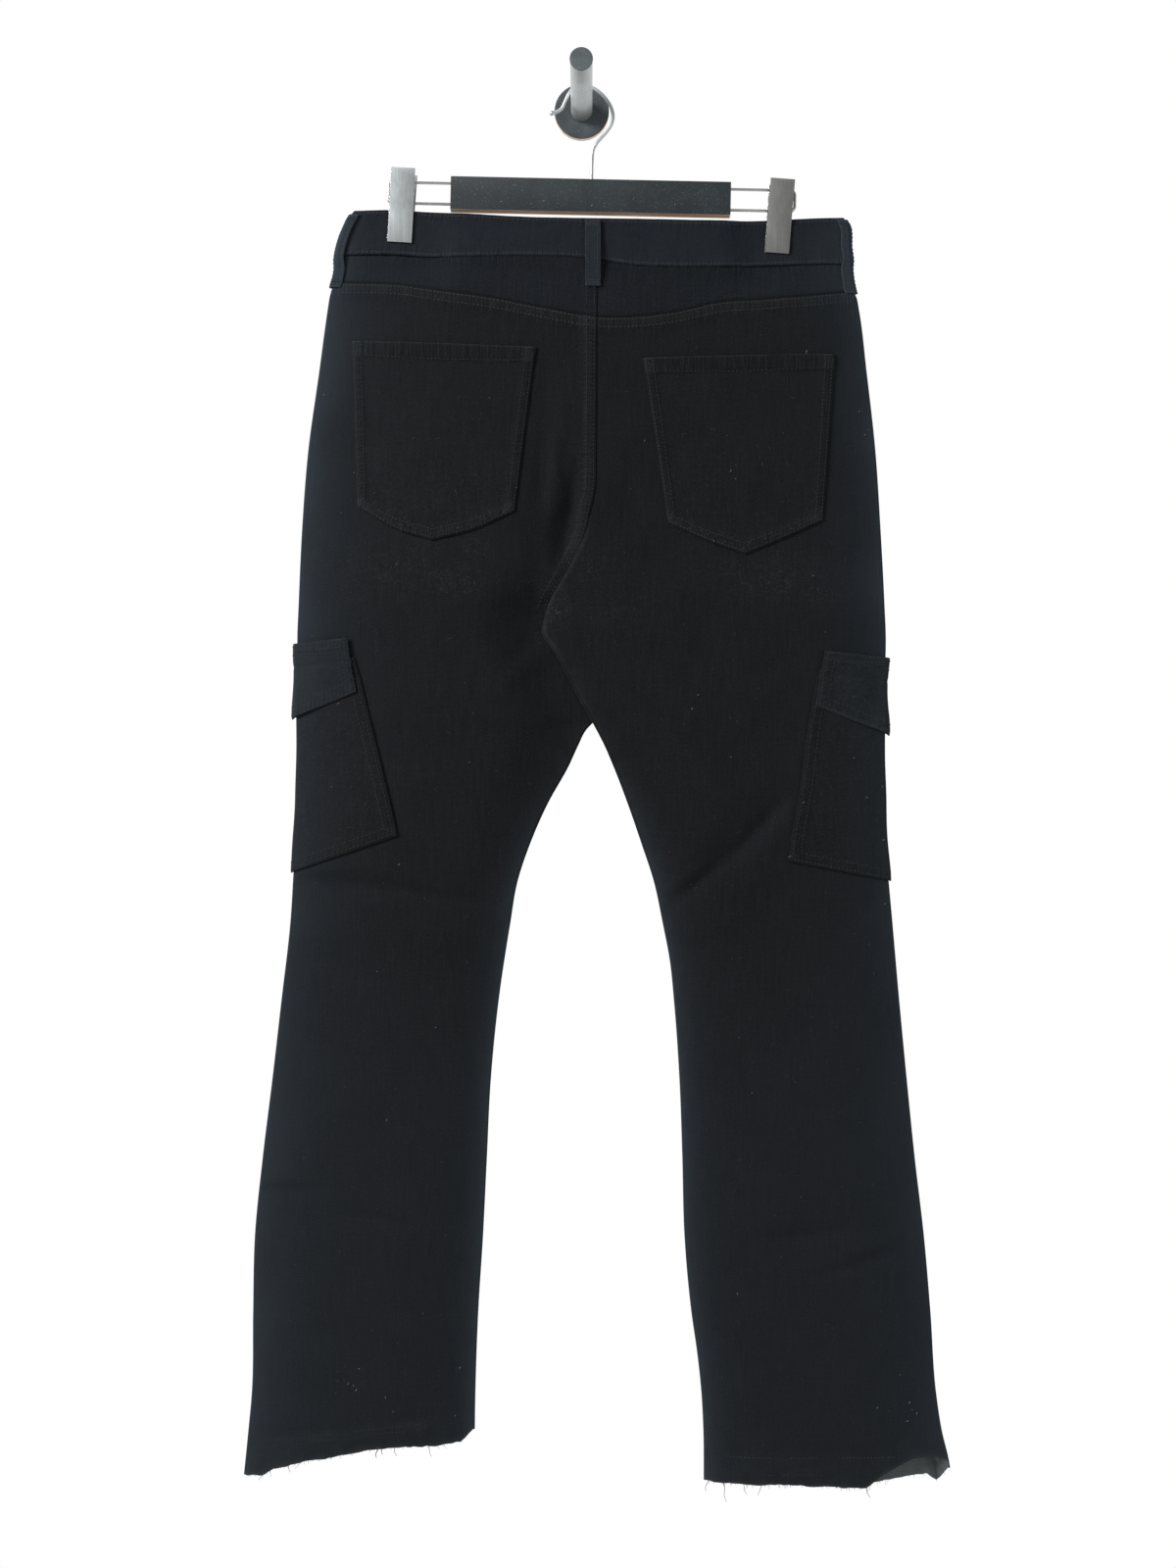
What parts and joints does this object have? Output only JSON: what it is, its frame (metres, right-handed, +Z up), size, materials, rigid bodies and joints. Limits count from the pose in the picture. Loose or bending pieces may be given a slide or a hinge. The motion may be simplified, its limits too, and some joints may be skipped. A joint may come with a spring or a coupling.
{
  "type": "cargo jeans on a clip hanger and wall peg",
  "caption": "Black cargo jeans with raw flared hems and open waist and legs, held by a clip hanger hooked over a round wall peg.",
  "frame": {"origin": "centre of the peg plate's back face, on the wall", "axes": "+Z up, +Y into the wall, -Y out of it towards the viewer, who sees the back of the jeans; +X is the wearer's right"},
  "size_m": [0.5813, 0.1083, 1.1697],
  "materials": {
    "black_denim": "black stretch twill, matt, faintly worn lighter along its seams and edges",
    "zip_tape": "woven black zip tape with fine dark metal teeth",
    "button_metal": "dark burnished metal, domed and plain",
    "clip_metal": "fine vertical brushing, softly glossy, edges bright",
    "wire_metal": "polished plated wire",
    "bar_paint": "matt black paint over wood, dusty, bare along the underside",
    "peg_paint": "satin black, edge slightly worn",
    "peg_metal": "satin metal brushed along its length",
    "peg_cap": "matt black moulded cap"
  },
  "bodies": {
    "root": {"back_panel_left": "black_denim", "back_panel_right": "black_denim", "back_pocket_left": "black_denim", "back_pocket_right": "black_denim", "belt_loop_back": "black_denim", "belt_loop_front_left": "black_denim", "belt_loop_front_right": "black_denim", "belt_loop_side_left": "black_denim", "belt_loop_side_right": "black_denim", "cargo_flap_left": "black_denim", "cargo_flap_right": "black_denim", "cargo_pocket_left": "black_denim", "cargo_pocket_right": "black_denim", "cargo_snap_left_back": "button_metal", "cargo_snap_left_front": "button_metal", "cargo_snap_right_back": "button_metal", "cargo_snap_right_front": "button_metal", "clip_left_jaw_back": "clip_metal", "clip_left_jaw_front": "clip_metal", "clip_left_pin": "wire_metal", "clip_left_spring": "clip_metal", "clip_right_jaw_back": "clip_metal", "clip_right_jaw_front": "clip_metal", "clip_right_pin": "wire_metal", "clip_right_spring": "clip_metal", "fly_facing": "black_denim", "fly_shield": "black_denim", "fly_zip": "zip_tape", "front_panel_left": "black_denim", "front_panel_right": "black_denim", "front_pocket_facing_left": "black_denim", "front_pocket_facing_right": "black_denim", "hanger_bar": "bar_paint", "hanger_hook": "wire_metal", "hanger_wire_left": "wire_metal", "hanger_wire_right": "wire_metal", "peg_cap": "peg_cap", "peg_plate": "peg_paint", "peg_rod": "peg_metal", "waist_button": "button_metal", "waistband": "black_denim", "yoke_left": "black_denim", "yoke_right": "black_denim"}
  },
  "joints": []
}
